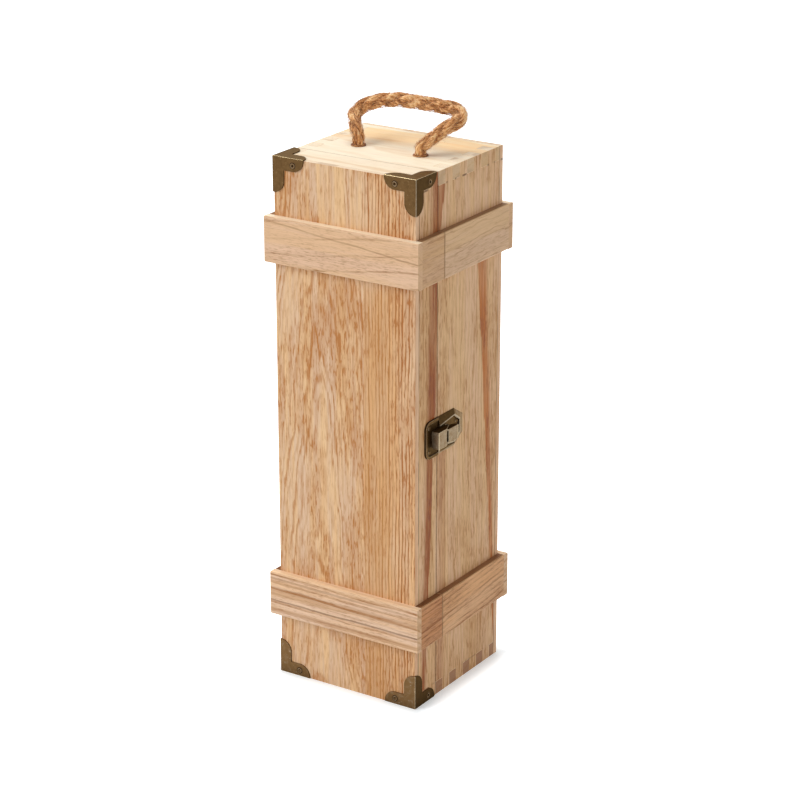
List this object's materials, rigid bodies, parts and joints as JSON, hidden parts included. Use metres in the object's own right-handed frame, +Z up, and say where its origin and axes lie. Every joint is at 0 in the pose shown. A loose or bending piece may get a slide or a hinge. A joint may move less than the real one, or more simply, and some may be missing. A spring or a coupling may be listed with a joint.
{
  "type": "wine bottle box",
  "caption": "Upright pine bottle box: hinged front lid, strap bands, brass corners, side toggle latch and rope handle.",
  "frame": {"origin": "middle of the box's underside, halfway between its side faces and its front and back panels, on the surface it stands on", "axes": "+Z up along the bottle; -Y towards the front, where the lid is; +X towards the latch side; the hinges are at -X"},
  "size_m": [0.1205, 0.111, 0.3814],
  "materials": {
    "pine_panel": "sanded, unvarnished, with bold orange-brown grain",
    "pine_board": "sanded, unvarnished, fine straight grain",
    "pine_band": "sanded, unvarnished, slightly redder and paler",
    "antique_brass": "antique brass plate, dark, worn bright along the edges",
    "jute_rope": "three-strand twisted jute, hairy"
  },
  "bodies": {
    "tray": {"tray_panel_wide": "pine_panel", "tray_panel_narrow": "pine_panel", "tray_left_side": "pine_board", "tray_right_side": "pine_board", "tray_top_end": "pine_board", "tray_bottom_end": "pine_board", "tray_upper_band_back": "pine_band", "tray_upper_band_left": "pine_band", "tray_upper_band_right": "pine_band", "tray_lower_band_back": "pine_band", "tray_lower_band_left": "pine_band", "tray_lower_band_right": "pine_band", "upper_hinge_tray_leaf": "antique_brass", "lower_hinge_tray_leaf": "antique_brass", "upper_hinge_pin": "antique_brass", "lower_hinge_pin": "antique_brass", "tray_hinge_screws": "antique_brass", "latch_base": "antique_brass", "latch_nails": "antique_brass", "latch_pivot_pin": "antique_brass", "rope_end_left": "jute_rope", "rope_end_right": "jute_rope"},
    "lid": {"lid_panel_wide": "pine_panel", "lid_panel_narrow": "pine_panel", "lid_left_side": "pine_board", "lid_right_side": "pine_board", "lid_top_end": "pine_board", "lid_bottom_end": "pine_board", "lid_upper_band_front": "pine_band", "lid_upper_band_left": "pine_band", "lid_upper_band_right": "pine_band", "lid_lower_band_front": "pine_band", "lid_lower_band_left": "pine_band", "lid_lower_band_right": "pine_band", "corner_top_left": "antique_brass", "corner_top_right": "antique_brass", "corner_bottom_left": "antique_brass", "corner_bottom_right": "antique_brass", "corner_nails": "antique_brass", "upper_hinge_lid_leaf": "antique_brass", "lower_hinge_lid_leaf": "antique_brass", "lid_hinge_screws": "antique_brass", "catch_plate": "antique_brass", "catch_nails": "antique_brass"},
    "lever": {"latch_lever": "antique_brass", "bow_pin": "antique_brass"},
    "bow": {"latch_bow": "antique_brass"},
    "handle": {"rope_handle": "jute_rope"}
  },
  "joints": [
    {"name": "lid_turn", "type": "hinge", "parent": "tray", "child": "lid", "pos_m": [-0.05925, -0.0255, 0.179], "axis": [0, 0, -1], "range_deg": [0, 180]},
    {"name": "lever_turn", "type": "hinge", "parent": "tray", "child": "lever", "pos_m": [0.0552, -0.0229, 0.1796], "axis": [0, 0, -1], "range_deg": [0, 90]},
    {"name": "bow_turn", "type": "hinge", "parent": "lever", "child": "bow", "pos_m": [0.0547, -0.0185, 0.1796], "axis": [0, 0, -1], "range_deg": [-90, 0]},
    {"name": "handle_swing", "type": "hinge", "parent": "tray", "child": "handle", "pos_m": [0, 0, 0.355], "axis": [1, 0, 0], "range_deg": [-38, 88]}
  ],
  "couplings": [
    {"joint": "bow_turn", "follows": "lever_turn", "ratio": -1}
  ]
}
